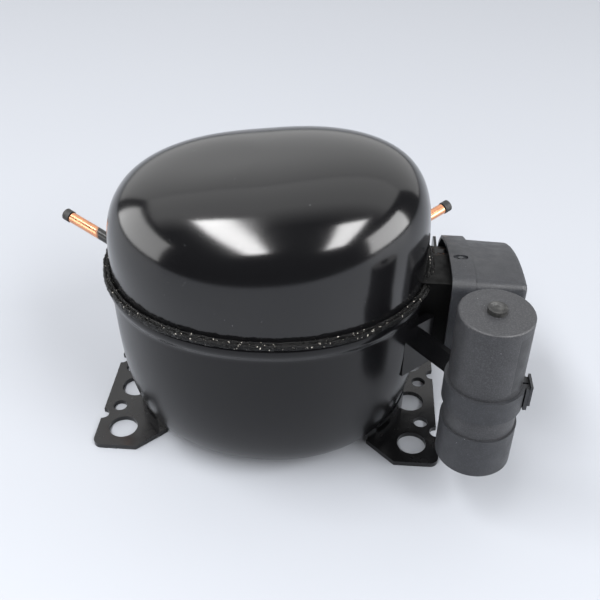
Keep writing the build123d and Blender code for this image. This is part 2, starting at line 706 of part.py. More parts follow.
with BuildPart() as cluster_block:
    with BuildSketch(along_x(66)):
        with Locations((TERMINAL_Y, TERMINAL_Z + 1)):
            RectangleRounded(24, 22, 3)
    extrude(amount=10)
    with BuildSketch(along_x(69)):
        with Locations(*PIN_SPOTS):
            Circle(PIN_RADIUS)
    extrude(amount=10, mode=Mode.SUBTRACT)
keep(cluster_block, "cluster_block")

with BuildPart() as motor_leads:
    for y in (TERMINAL_Y - 8, TERMINAL_Y, TERMINAL_Y + 8):
        near_winding = sqrt(WINDING_RADIUS**2 - y**2) + 1.5
        add(rod(1.1, (near_winding, y, 87), (1, 0, 0), 66 - near_winding))
keep(motor_leads, "motor_leads")

with BuildPart() as terminal_bracket:
    with BuildSketch(along_x(BRACKET_PLATE_X)):
        with Locations((TERMINAL_Y, TERMINAL_Z - 1)):
            RectangleRounded(40, 44, 5)
        with Locations((TERMINAL_Y, TERMINAL_Z)):
            Circle(TERMINAL_RADIUS + 1.5, mode=Mode.SUBTRACT)
    extrude(amount=1.5)
    for z in (TERMINAL_Z - 22.5, TERMINAL_Z + 18.5):
        with Locations((98, TERMINAL_Y, z)):
            Box(15, 12, 1.5)
    for y in (TERMINAL_Y - 19, TERMINAL_Y + 19):
        with Locations((84.5, y, TERMINAL_Z - 8)):
            Box(14.5, 1.5, 18)
    add(OUTSIDE, mode=Mode.SUBTRACT)
keep(terminal_bracket, "terminal_bracket")

with BuildPart() as start_relay:
    with BuildSketch(along_x(RELAY_START)):
        with Locations((TERMINAL_Y - 4, RELAY_Z)):
            RectangleRounded(38, 30, 4)
    extrude(amount=RELAY_DEPTH)
    with BuildSketch(along_x(RELAY_START)):
        with Locations(*PIN_SPOTS):
            Circle(PIN_RADIUS)
    extrude(amount=6, mode=Mode.SUBTRACT)
    with Locations((113, 5, 94), (113, 19, 94)):
        Box(6, 0.8, 9)
keep(start_relay, "start_relay")

with BuildPart() as overload_protector:
    add(rod(PROTECTOR_RADIUS, PROTECTOR_SPOT, (1, 0, 0), 18))
    fillet(overload_protector.edges().group_by(Axis.X)[-1], 2)
    with Locations((105, 34.5, 72)):
        Box(5, 5, 0.8)
keep(overload_protector, "overload_protector")


def cover_outline(grow):
    """The terminal cover's rounded profile, offset outwards by a distance."""
    with BuildSketch() as face:
        with BuildLine():
            ThreePointArc((COVER_FRONT, COVER_TOP), (10, 108.3), (42, 95.5))
            Polyline((42, 95.5), (COVER_BACK, 84), (COVER_BACK, COVER_BOTTOM),
                     (COVER_FRONT, COVER_BOTTOM), (COVER_FRONT, COVER_TOP))
        make_face()
        fillet(face.vertices().filter_by(lambda v: v.Y > COVER_BOTTOM + 1 and v.X > 0), 9)
        fillet(face.vertices().sort_by(Axis.Y)[-1], 5)
        fillet(face.vertices().group_by(Axis.Y)[0], 5)
        if grow:
            offset(amount=grow, mode=Mode.REPLACE)
    return face.sketch


with BuildPart() as terminal_cover:
    with BuildSketch(along_x(COVER_START)):
        add(cover_outline(COVER_RIM))
    extrude(amount=COVER_STEP - COVER_START)
    with BuildSketch(along_x(COVER_STEP)):
        add(cover_outline(0))
    extrude(amount=COVER_END - COVER_STEP, taper=COVER_TAPER)
    fillet(terminal_cover.faces().sort_by(Axis.X)[-1].edges(), 3)
    with BuildSketch(along_x(COVER_START)):
        add(cover_outline(COVER_RIM - COVER_WALL))
    extrude(amount=COVER_STEP - COVER_START - COVER_WALL, mode=Mode.SUBTRACT)
    with BuildSketch(along_x(COVER_START)):
        add(cover_outline(-COVER_WALL))
    extrude(amount=COVER_END - COVER_START - COVER_WALL, taper=COVER_TAPER, mode=Mode.SUBTRACT)
    with BuildSketch(LATCH_PLANE.offset(-LATCH_DEPTH)):
        SlotOverall(LATCH_LENGTH, LATCH_WIDTH)
    extrude(amount=LATCH_DEPTH + 1, mode=Mode.SUBTRACT)
    with BuildSketch(LATCH_PLANE.offset(-LATCH_DEPTH)):
        Circle(LATCH_BUTTON)
    extrude(amount=LATCH_DEPTH * 0.8)
keep(terminal_cover, "terminal_cover")

CAP_AXIS = (CAPACITOR_X, CAPACITOR_Y)
with BuildPart() as capacitor_can:
    with BuildSketch(Plane.XY.offset(CAPACITOR_FOOT)):
        with Locations(CAP_AXIS):
            Circle(CAPACITOR_RADIUS)
    extrude(amount=CAPACITOR_TOP - CAPACITOR_FOOT)
    fillet(capacitor_can.edges().group_by(Axis.Z)[-1], 1.2)
    with Locations((*CAP_AXIS, CAPACITOR_TOP)):
        Cylinder(3.4, 4, mode=Mode.SUBTRACT)
keep(capacitor_can, "capacitor_can")

with BuildPart() as vent_plug:
    with Locations((*CAP_AXIS, CAPACITOR_TOP)):
        Cylinder(4.7, 2.5, align=(Align.CENTER, Align.CENTER, Align.MIN))
        Cylinder(3.4, 2, align=(Align.CENTER, Align.CENTER, Align.MAX))
    with Locations((*CAP_AXIS, CAPACITOR_TOP + 2.5)):
        Cone(2.6, 3.9, 1, align=(Align.CENTER, Align.CENTER, Align.MAX), mode=Mode.SUBTRACT)
keep(vent_plug, "vent_plug")

with BuildPart() as capacitor_cup:
    with BuildSketch(Plane.XY.offset(CUP_FOOT)):
        with Locations(CAP_AXIS):
            Circle(CUP_RADIUS)
    extrude(amount=CUP_TOP - CUP_FOOT)
    chamfer(capacitor_cup.edges().group_by(Axis.Z)[0], 4)
    with Locations((*CAP_AXIS, CAPACITOR_FOOT)):
        Cylinder(CAPACITOR_RADIUS, 30, align=(Align.CENTER, Align.CENTER, Align.MIN), mode=Mode.SUBTRACT)
        Cylinder(14, 6.5, align=(Align.CENTER, Align.CENTER, Align.MAX), mode=Mode.SUBTRACT)
keep(capacitor_cup, "capacitor_cup")

with BuildPart() as capacitor_tabs:
    with Locations(*[(CAPACITOR_X + x, CAPACITOR_Y, CAPACITOR_FOOT) for x in (-6, 6)]):
        Box(6.3, 0.8, 5.5, align=(Align.CENTER, Align.CENTER, Align.MAX))
keep(capacitor_tabs, "capacitor_tabs")

with BuildPart() as capacitor_strap:
    with BuildSketch(Plane.XY.offset(STRAP_BOTTOM)):
        with Locations(CAP_AXIS):
            Circle(STRAP_RADIUS)
            Circle(CAPACITOR_RADIUS, mode=Mode.SUBTRACT)
        with Locations((CAPACITOR_X + STRAP_RADIUS, SPLIT_Y)):
            Rectangle(8, SPLIT_WIDTH, mode=Mode.SUBTRACT)
        with Locations(*[(LUG_X, SPLIT_Y + side * (LUG_WIDTH + SPLIT_WIDTH) / 2) for side in (-1, 1)]):
            Rectangle(LUG_DEPTH, LUG_WIDTH)
    extrude(amount=STRAP_TOP - STRAP_BOTTOM)
    with Locations((CAPACITOR_X, CAPACITOR_Y)):
        Cylinder(CAPACITOR_RADIUS, 400, mode=Mode.SUBTRACT)
keep(capacitor_strap, "capacitor_strap")

ARM_START = Vector(CAPACITOR_X, CAPACITOR_Y, 0)
ARM_END = Vector(*BRACKET_ROOT, 0)
ARM_PLANE = Plane(origin=(*BRACKET_ROOT, STRAP_BOTTOM), x_dir=ARM_START - ARM_END, z_dir=(0, 0, 1))
with BuildPart() as capacitor_bracket:
    with BuildSketch(ARM_PLANE):
        with Locations(((ARM_START - ARM_END).length / 2, 0)):
            Rectangle((ARM_START - ARM_END).length, BRACKET_THICKNESS)
    extrude(amount=STRAP_TOP - STRAP_BOTTOM)
    with BuildSketch(ARM_PLANE.offset(-14)):
        with Locations((5.5, 0)):
            Rectangle(5, 20)
    extrude(amount=STRAP_TOP - STRAP_BOTTOM + 18)
    add(OUTSIDE, mode=Mode.SUBTRACT)
    with Locations((CAPACITOR_X, CAPACITOR_Y)):
        Cylinder(STRAP_RADIUS, 400, mode=Mode.SUBTRACT)
keep(capacitor_bracket, "capacitor_bracket")

with BuildPart() as strap_buckle:
    with BuildSketch(Plane.XY.offset(BUCKLE_BOTTOM)):
        with Locations((LUG_X + (LUG_DEPTH + BUCKLE_THICKNESS) / 2, SPLIT_Y)):
            Rectangle(BUCKLE_THICKNESS, BUCKLE_WIDTH)
    extrude(amount=BUCKLE_TOP - BUCKLE_BOTTOM)
keep(strap_buckle, "strap_buckle")
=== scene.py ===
import math
import bpy
import numpy as np
from mathutils import Matrix, Vector, noise


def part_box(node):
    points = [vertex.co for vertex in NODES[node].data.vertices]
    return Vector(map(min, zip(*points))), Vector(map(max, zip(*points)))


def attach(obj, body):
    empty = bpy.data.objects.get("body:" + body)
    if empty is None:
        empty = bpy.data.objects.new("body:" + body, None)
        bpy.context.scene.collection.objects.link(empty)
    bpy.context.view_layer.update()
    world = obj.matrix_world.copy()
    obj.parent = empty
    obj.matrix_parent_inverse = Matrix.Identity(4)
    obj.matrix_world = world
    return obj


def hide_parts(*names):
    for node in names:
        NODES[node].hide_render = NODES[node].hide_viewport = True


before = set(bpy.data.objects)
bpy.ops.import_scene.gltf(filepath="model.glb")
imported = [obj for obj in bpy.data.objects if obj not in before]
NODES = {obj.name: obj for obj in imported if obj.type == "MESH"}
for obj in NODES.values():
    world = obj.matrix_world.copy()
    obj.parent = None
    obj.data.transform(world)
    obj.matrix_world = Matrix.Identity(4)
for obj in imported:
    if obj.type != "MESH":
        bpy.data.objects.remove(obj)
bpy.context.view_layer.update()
MM = 0.001

# ------------------------------------------------------------------ sizes from the frame
BEAD_LOW, BEAD_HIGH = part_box("weld_bead")
BEAD_RADIUS = (BEAD_HIGH[0] - BEAD_LOW[0]) / 2
OVAL = (BEAD_HIGH[1] - BEAD_LOW[1]) / (BEAD_HIGH[0] - BEAD_LOW[0])
LIP_TOP = BEAD_LOW[2]
SHELL_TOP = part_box("upper_shell")[1][2]
SHELL_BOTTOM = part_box("lower_shell")[0][2]
LIP_RADIUS = (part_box("lower_shell")[1][0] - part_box("lower_shell")[0][0]) / 2
DOME_RADIUS = (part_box("upper_shell")[1][0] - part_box("upper_shell")[0][0]) / 2
STEP_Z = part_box("upper_shell")[0][2]
WALL = 3 * MM
PLAN_POWER = 2.12
CROWN_HEIGHT = SHELL_TOP - LIP_TOP + 1.6 * MM
CROWN_LEAN = (0.19, -0.08)
CROWN_DROOP = 0.4 * MM
# Roundness of the upper shell towards the left, right, far and near side: plan power, then height power.
SHOULDER_POWERS = ((5.6, 3.9), (2.5, 4.6), (2.7, 3.5), (2.9, 3.4))


PAN_TOP = 96.5 * MM
PAN_INSET = 3.3 * MM
PAN_LEAN = 1.2 * MM
PAN_SIDE_POWER = 8.0
PAN_FLOOR_POWER = 3.2
AROUND = 192

# ------------------------------------------------------------------ camera
CAMERA_YAW, CAMERA_PITCH, CAMERA_ROLL = -3.82, 37.51, 0.49
CAMERA_PLACE = (42.6 * MM, -383.6 * MM, 372.1 * MM)
CAMERA_LENS = 51.33
CAMERA_SENSOR = 36


def make_camera():
    """Looks down on the compressor from the front, a little to the right of its middle."""
    yaw, pitch, roll = (math.radians(angle) for angle in (CAMERA_YAW, CAMERA_PITCH, CAMERA_ROLL))
    forward = Vector((math.sin(yaw) * math.cos(pitch), math.cos(yaw) * math.cos(pitch), -math.sin(pitch)))
    level = Vector((math.cos(yaw), -math.sin(yaw), 0))
    rise = level.cross(forward)
    right = level * math.cos(roll) + rise * math.sin(roll)
    up = rise * math.cos(roll) - level * math.sin(roll)
    data = bpy.data.cameras.new("camera")
    data.lens = CAMERA_LENS
    data.sensor_width = CAMERA_SENSOR
    camera = bpy.data.objects.new("camera", data)
    bpy.context.scene.collection.objects.link(camera)
    turn = Matrix((right, up, -forward)).transposed().to_4x4()
    camera.matrix_world = Matrix.Translation(CAMERA_PLACE) @ turn
    bpy.context.scene.camera = camera


# ------------------------------------------------------------------ material helpers
class Paint:
    """One procedural material: a Principled shader and the few textures that feed it."""

    def __init__(self, name, color, roughness, **sockets):
        self.material = bpy.data.materials.new(name)
        self.material.use_nodes = True
        self.tree = self.material.node_tree
        self.shader = self.tree.nodes["Principled BSDF"]
        self.shader.inputs["Base Color"].default_value = (*color, 1)
        self.shader.inputs["Roughness"].default_value = roughness
        for key, value in sockets.items():
            self.shader.inputs[key.replace("_", " ")].default_value = value
        self.place = self.tree.nodes.new("ShaderNodeTexCoord").outputs["Object"]
        self.height = None

    def link(self, source, target):
        self.tree.links.new(source, target)

    def stretched(self, scale):
        """Object coordinates stretched by a factor on each axis."""
        node = self.tree.nodes.new("ShaderNodeMapping")
        node.inputs["Scale"].default_value = scale
        self.link(self.place, node.inputs["Vector"])
        return node.outputs["Vector"]

    def noise(self, scale, detail=3.0, rough=0.5, vector=None):
        node = self.tree.nodes.new("ShaderNodeTexNoise")
        node.inputs["Scale"].default_value = scale
        node.inputs["Detail"].default_value = detail
        node.inputs["Roughness"].default_value = rough
        self.link(vector or self.place, node.inputs["Vector"])
        return node.outputs["Fac"]

    def cells(self, scale):
        node = self.tree.nodes.new("ShaderNodeTexVoronoi")
        node.inputs["Scale"].default_value = scale
        self.link(self.place, node.inputs["Vector"])
        return node.outputs["Distance"]

    def waves(self, scale, direction):
        node = self.tree.nodes.new("ShaderNodeTexWave")
        node.bands_direction = direction
        node.inputs["Scale"].default_value = scale
        node.inputs["Distortion"].default_value = 0.0
        self.link(self.place, node.inputs["Vector"])
        return node.outputs["Fac"]

    def span(self, fac, low, high, out_low=0.0, out_high=1.0):
        """Maps low..high of a value to out_low..out_high, clamped."""
        node = self.tree.nodes.new("ShaderNodeMapRange")
        node.inputs["From Min"].default_value = low
        node.inputs["From Max"].default_value = high
        node.inputs["To Min"].default_value = out_low
        node.inputs["To Max"].default_value = out_high
        self.link(fac, node.inputs["Value"])
        return node.outputs["Result"]

    def math(self, operation, a, b):
        node = self.tree.nodes.new("ShaderNodeMath")
        node.operation = operation
        for socket, value in zip(node.inputs, (a, b)):
            if isinstance(value, (int, float)):
                socket.default_value = value
            else:
                self.link(value, socket)
        return node.outputs[0]

    def axis(self, name):
        """One object coordinate, in metres."""
        node = self.tree.nodes.new("ShaderNodeSeparateXYZ")
        self.link(self.place, node.inputs[0])
        return node.outputs[name]

    def tint(self, fac, color):
        """Mixes a colour over what the base colour holds now."""
        base = self.shader.inputs["Base Color"]
        node = self.tree.nodes.new("ShaderNodeMix")
        node.data_type = "RGBA"
        if base.links:
            self.link(base.links[0].from_socket, node.inputs["A"])
        else:
            node.inputs["A"].default_value = base.default_value
        node.inputs["B"].default_value = (*color, 1)
        self.link(fac, node.inputs["Factor"])
        self.link(node.outputs["Result"], base)
        return self

    def rough(self, fac, low, high):
        """Roughness follows a value, from low to high."""
        self.link(self.span(fac, 0.3, 0.7, low, high), self.shader.inputs["Roughness"])

    def metal(self, fac):
        self.link(fac, self.shader.inputs["Metallic"])

    def bump(self, fac, strength, distance=0.0005):
        """Adds one layer of bump on top of those before it."""
        node = self.tree.nodes.new("ShaderNodeBump")
        node.inputs["Strength"].default_value = strength
        node.inputs["Distance"].default_value = distance
        self.link(fac, node.inputs["Height"])
        if self.height:
            self.link(self.height, node.inputs["Normal"])
        self.height = node.outputs["Normal"]
        self.link(self.height, self.shader.inputs["Normal"])


def dust(paint, amount=0.045):
    """Sparse pale specks of dust."""
    speck = paint.span(paint.cells(420), amount, amount * 0.6)
    patchy = paint.span(paint.noise(55, 2), 0.56, 0.62)
    return paint.tint(paint.math("MULTIPLY", speck, patchy), (0.55, 0.57, 0.6))


def gloss_black():
    paint = Paint("gloss_black_paint", (0.004, 0.004, 0.0045), 0.1)
    paint.rough(paint.noise(24, 4), 0.13, 0.17)
    paint.bump(paint.noise(190, 2), 0.01)
    paint.bump(paint.noise(900, 2), 0.006, 0.0002)
    return dust(paint).material


def satin_black():
    paint = Paint("satin_black_paint", (0.003, 0.003, 0.0035), 0.2, Specular_IOR_Level=0.3)
    paint.rough(paint.noise(30, 4), 0.16, 0.26)
    paint.bump(paint.noise(190, 2), 0.006)
    return dust(paint, 0.03).material


def foot_black():
    paint = Paint("foot_black_paint", (0.005, 0.005, 0.0055), 0.2)
    paint.rough(paint.noise(60, 5), 0.12, 0.34)
    paint.bump(paint.noise(420, 3), 0.05)
    paint.tint(paint.span(paint.noise(95, 6, 0.7), 0.62, 0.72), (0.018, 0.017, 0.016))
    return dust(paint, 0.05).material


def weld_black():
    paint = Paint("painted_weld", (0.0015, 0.0015, 0.0015), 0.25, Specular_IOR_Level=0.2)
    paint.bump(paint.noise(520, 6, 0.75), 1.0, 0.0011)
    paint.bump(paint.cells(650), 0.6, 0.0006)
    # Painted highlights: pale specks mixed into the weld's colour stand in for small bright glints of light
    # on the bead.
    paint.tint(paint.span(paint.noise(640, 2), 0.67, 0.74), (0.55, 0.52, 0.47))
    paint.rough(paint.noise(300, 3), 0.08, 0.3)
    return paint.material


def matte_plastic(name, color):
    paint = Paint(name, color, 0.5)
    paint.rough(paint.noise(140, 4), 0.42, 0.6)
    paint.bump(paint.noise(2300, 2), 0.22, 0.0003)
    paint.bump(paint.noise(160, 3), 0.03, 0.0006)
    paint.tint(paint.span(paint.noise(1500, 3), 0.48, 0.75), tuple(c * 1.9 + 0.006 for c in color))
    return dust(paint, 0.06).material


def capacitor_plastic():
    """The can's moulded case, with a plain darker panel on its right side."""
    center = [(a + b) / 2 for a, b in zip(*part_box("capacitor_can"))]
    paint = Paint("capacitor_plastic", (0.019, 0.0195, 0.022), 0.42)
    paint.rough(paint.noise(140, 4), 0.4, 0.56)
    paint.bump(paint.noise(2300, 2), 0.2, 0.0003)
    paint.tint(paint.span(paint.noise(1500, 3), 0.45, 0.75), (0.045, 0.046, 0.05))
    across = paint.math("SUBTRACT", paint.axis("X"), center[0])
    depth = paint.math("SUBTRACT", paint.axis("Y"), center[1])
    angle = paint.math("ARCTAN2", depth, across)
    panel = paint.math("MULTIPLY", paint.span(angle, -0.98, -0.96), paint.span(angle, 0.5, 0.48))
    tall = paint.math("MULTIPLY", paint.span(paint.axis("Z"), 0.089, 0.0892),
                      paint.span(paint.axis("Z"), 0.1225, 0.1223))
    panel = paint.math("MULTIPLY", panel, tall)
    paint.tint(paint.math("MULTIPLY", panel, 0.75), (0.009, 0.0095, 0.011))
    paint.bump(panel, 0.4, 0.0002)
    return dust(paint, 0.06).material


def rubber():
    paint = Paint("black_rubber", (0.01, 0.01, 0.01), 0.62)
    paint.rough(paint.noise(220, 4), 0.45, 0.75)
    paint.bump(paint.noise(1300, 4), 0.35, 0.0003)
    paint.tint(paint.span(paint.noise(260, 5), 0.5, 0.8), (0.05, 0.05, 0.048))
    return paint.material


def copper(name, start_x, sign):
    """Copper tube, bare beyond start_x along sign * X, with black overspray nearer the shell."""
    paint = Paint(name, (0.72, 0.34, 0.19), 0.22, Metallic=1.0)
    paint.tint(paint.span(paint.noise(120, 4), 0.5, 0.8), (0.5, 0.21, 0.11))
    paint.tint(paint.span(paint.noise(60, 3), 0.5, 0.9), (0.8, 0.47, 0.3))
    paint.bump(paint.noise(90, 3), 0.02, 0.0004)
    wander = paint.math("MULTIPLY", paint.noise(220, 4), 0.004)
    reach = paint.math("ADD", paint.math("MULTIPLY", paint.axis("X"), sign), wander)
    bare = paint.span(reach, start_x, start_x + 0.002)
    paint.metal(bare)
    sprayed = paint.math("SUBTRACT", 1.0, bare)
    paint.tint(sprayed, (0.012, 0.012, 0.012))
    paint.rough(paint.noise(160, 3), 0.2, 0.3)
    return paint.material


def steel(name, color, roughness, scale=500):
    paint = Paint(name, color, roughness, Metallic=1.0)
    paint.rough(paint.noise(scale, 5), roughness * 0.7, roughness * 1.35)
    paint.bump(paint.noise(scale * 2, 3, 0.6, paint.stretched((1, 1, 0.12))), 0.08, 0.0002)
    paint.tint(paint.span(paint.noise(scale / 6, 4), 0.5, 0.8), tuple(c * 0.62 for c in color))
    return paint.material


def laminated():
    paint = Paint("laminated_steel", (0.2, 0.21, 0.24), 0.42, Metallic=1.0)
    paint.bump(paint.waves(320, "Z"), 0.5, 0.0002)
    paint.tint(paint.span(paint.waves(320, "Z"), 0.1, 0.35, 1, 0), (0.05, 0.05, 0.055))
    paint.tint(paint.span(paint.noise(80, 4), 0.5, 0.75), (0.12, 0.17, 0.28))
    return paint.material


def cast_iron():
    paint = Paint("cast_iron", (0.13, 0.13, 0.135), 0.55, Metallic=0.85)
    paint.bump(paint.noise(520, 6, 0.7), 0.5, 0.0006)
    paint.tint(paint.span(paint.noise(120, 5), 0.5, 0.8), (0.07, 0.068, 0.065))
    paint.rough(paint.noise(240, 4), 0.4, 0.7)
    return paint.material


def varnished_copper():
    paint = Paint("varnished_winding", (0.5, 0.14, 0.035), 0.28,
                  Metallic=0.75, Coat_Weight=0.7, Coat_Roughness=0.15)
    strands = paint.noise(900, 3, 0.55, paint.stretched((0.3, 0.3, 3)))
    paint.bump(strands, 0.8, 0.0008)
    paint.tint(paint.span(strands, 0.45, 0.3), (0.12, 0.03, 0.01))
    return paint.material


def plain(name, color, roughness, grain=700, **sockets):
    """Moulded or pressed material with a fine grain and slight mottling."""
    paint = Paint(name, color, roughness, **sockets)
    paint.bump(paint.noise(grain, 4), 0.12, 0.0003)
    paint.rough(paint.noise(grain / 4, 4), roughness * 0.8, min(1.0, roughness * 1.25))
    paint.tint(paint.span(paint.noise(grain / 8, 4), 0.5, 0.85), tuple(c * 0.75 for c in color))
    return paint.material


def floor_material():
    paint = Paint("studio_floor", (0.318, 0.331, 0.36), 0.6)
    paint.tint(paint.span(paint.noise(1.6, 2), 0.4, 0.7, 0, 0.35), (0.305, 0.318, 0.347))
    paint.bump(paint.noise(400, 2), 0.01, 0.0002)
    return paint.material


# ------------------------------------------------------------------ mesh helpers
def make_object(name, vertices, faces, material, smooth=True):
    mesh = bpy.data.meshes.new(name)
    mesh.from_pydata([tuple(v) for v in vertices], [], faces)
    mesh.update()
    mesh.validate()
    for polygon in mesh.polygons:
        polygon.use_smooth = smooth
    mesh.materials.append(material)
    obj = bpy.data.objects.new(name, mesh)
    bpy.context.scene.collection.objects.link(obj)
    return obj


def resample(points, count):
    """The same curve as evenly spaced points."""
    points = np.array(points)
    steps = np.concatenate([[0], np.cumsum(np.linalg.norm(np.diff(points, axis=0), axis=1))])
    along = np.linspace(0, steps[-1], count)
    return np.stack([np.interp(along, steps, points[:, k]) for k in range(points.shape[1])], axis=1)


def superoval(angle):
    """Point of the slightly squared oval of unit half-length, for an angle."""
    c, s = math.cos(angle), math.sin(angle)
    x = math.copysign(abs(c) ** (2 / PLAN_POWER), c)
    y = math.copysign(abs(s) ** (2 / PLAN_POWER), s)
    return x, y * OVAL


def lathe(name, profile, material, around, wobble):
    """Carries a closed profile of radius and height round the oval, each point moved by wobble."""
    vertices = []
    for i in range(around):
        x, y = superoval(2 * math.pi * (i + 0.5) / around)
        for j, (r, z) in enumerate(profile):
            dr, dz = wobble(j, x, y)
            vertices.append((x * (r + dr), y * (r + dr), z + dz))
    n = len(profile)
    faces = []
    for i in range(around):
        k = (i + 1) % around
        for j in range(n):
            m = (j + 1) % n
            faces.append((i * n + j, k * n + j, k * n + m, i * n + m))
    return make_object(name, vertices, faces, material)


def capped(name, outer, inner, material):
    """A drawn cup: outer and inner skins that each end in one point on the axis, joined at the rim."""
    profile = list(outer) + list(reversed(inner))
    n = len(profile)
    vertices = []
    for i in range(AROUND):
        x, y = superoval(2 * math.pi * (i + 0.5) / AROUND)
        vertices += [(x * r, y * r, z) for r, z in profile[1:-1]]
    outer_pole, inner_pole = len(vertices), len(vertices) + 1
    vertices += [(0, 0, profile[0][1]), (0, 0, profile[-1][1])]
    ring = n - 2
    faces = []
    for i in range(AROUND):
        k = (i + 1) % AROUND
        faces.append((outer_pole, i * ring, k * ring))
        faces.append((inner_pole, k * ring + ring - 1, i * ring + ring - 1))
        for j in range(ring - 1):
            faces.append((i * ring + j, i * ring + j + 1, k * ring + j + 1, k * ring + j))
    return make_object(name, vertices, faces, material)


def stand_for(obj, node, body):
    """Puts a detailed piece, which rides on a body, in place of its CAD node."""
    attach(obj, body)
    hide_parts(node)


# ------------------------------------------------------------------ shell
def dome_skin(inset, steps=72):
    """Curves of points up the upper shell, whose crown leans up to the right."""
    radius = DOME_RADIUS - inset
    height = CROWN_HEIGHT - inset
    curves = []
    for i in range(AROUND):
        angle = 2 * math.pi * (i + 0.5) / AROUND
        x, y = superoval(angle)
        side, depth = math.cos(angle), math.sin(angle)
        shares = (max(-side, 0) ** 2, max(side, 0) ** 2, max(depth, 0) ** 2, max(-depth, 0) ** 2)
        power, height_power = (sum(share * p[k] for share, p in zip(shares, SHOULDER_POWERS))
                               for k in (0, 1))
        curve = [(1, STEP_Z)]
        for t in np.linspace(math.pi / 2, 0, 1200):
            u = math.sin(t) ** (2 / power)
            rise = math.cos(t) ** (2 / height_power)
            lean = 1 + CROWN_LEAN[0] * x * u + CROWN_LEAN[1] * y * u / OVAL
            curve.append((u, LIP_TOP + rise * (height * lean - CROWN_DROOP * u * u)))
        even = resample([(u * radius, z) for u, z in curve], steps)
        curves.append([(x * r, y * r, z) for r, z in even])
    return curves


def pan_curve(inset):
    """Radius and height down the lower shell's side, from its flared lip to the middle of the bottom."""
    side = BEAD_RADIUS - PAN_INSET - inset
    height = PAN_TOP - (SHELL_BOTTOM + inset)
    points = []
    for t in np.linspace(0, math.pi / 2, 3000):
        u = math.cos(t) ** (2 / PAN_SIDE_POWER)
        drop = math.sin(t) ** (2 / PAN_FLOOR_POWER)
        lean = PAN_LEAN * drop
        points.append((side * u - lean * u, PAN_TOP - height * drop))
    return resample(points, 90)


def build_upper_shell(material):
    outer = dome_skin(0)
    inner = dome_skin(WALL)
    steps = len(outer[0]) - 1
    vertices, faces = [], []
    for i in range(AROUND):
        vertices += outer[i][:-1] + inner[i][:-1][::-1]
    n = 2 * steps
    tops = [len(vertices), len(vertices) + 1]
    vertices += [outer[0][-1], inner[0][-1]]
    for i in range(AROUND):
        k = (i + 1) % AROUND
        for j in range(n):
            m = (j + 1) % n
            if j == steps - 1:
                faces.append((i * n + j, k * n + j, tops[0]))
                faces.append((k * n + m, i * n + m, tops[1]))
            else:
                faces.append((i * n + j, k * n + j, k * n + m, i * n + m))
    obj = make_object("dome", vertices, faces, material)
    stand_for(obj, "upper_shell", "shell")


def build_lower_shell(material):
    outer_rim = [(LIP_RADIUS - 2.6 * MM, LIP_TOP - 0.3 * MM), (LIP_RADIUS, LIP_TOP - 0.3 * MM),
                 (LIP_RADIUS, 102 * MM), (LIP_RADIUS - 0.2 * MM, 100.4 * MM),
                 (LIP_RADIUS - 0.9 * MM, 99 * MM), (LIP_RADIUS - 1.7 * MM, 97.6 * MM)]
    inner_rim = [(DOME_RADIUS + 0.02 * MM, LIP_TOP - 0.3 * MM), (DOME_RADIUS + 0.02 * MM, STEP_Z),
                 (DOME_RADIUS - 2.2 * MM, STEP_Z)]
    outer = outer_rim + [tuple(p) for p in pan_curve(0)]
    inner = inner_rim + [tuple(p) for p in pan_curve(WALL)]
    obj = capped("pan", outer[::-1], inner[::-1], material)
    stand_for(obj, "lower_shell", "shell")


def build_weld(material):
    """The weld bead: a lumpy rounded ring with a shallow groove along it."""
    inner = DOME_RADIUS - 0.4 * MM
    foot = LIP_TOP - 0.9 * MM
    width = BEAD_RADIUS - inner
    height = 3.4 * MM
    groove_depth, groove_angle, groove_width = 1.1 * MM, 1.25, 0.24
    profile = []
    for t in np.linspace(0, math.pi, 26):
        groove = groove_depth * math.exp(-((t - groove_angle) / groove_width) ** 2)
        profile.append((inner + width / 2 + width / 2 * math.cos(t) - groove * math.cos(t),
                        foot + height * math.sin(t) ** 0.8 - groove))
    around = 900
    edge = len(profile) - 1

    def wobble(j, x, y):
        spot = Vector((x, y, j * 0.012)) * 26
        lump = noise.fractal(spot, 1.0, 2.0, 3)
        ripple = noise.noise(Vector((x * 9, y * 9, 4.2)))
        free = math.sin(math.pi * j / edge)
        outward = 1 - j / edge
        return ((lump * 0.55 + ripple * 0.35) * MM * (0.25 + outward * 0.75),
                (lump * 0.5 + ripple * 0.3) * MM * free)

    obj = lathe("weld", profile, material, around, wobble)
    stand_for(obj, "weld_bead", "shell")


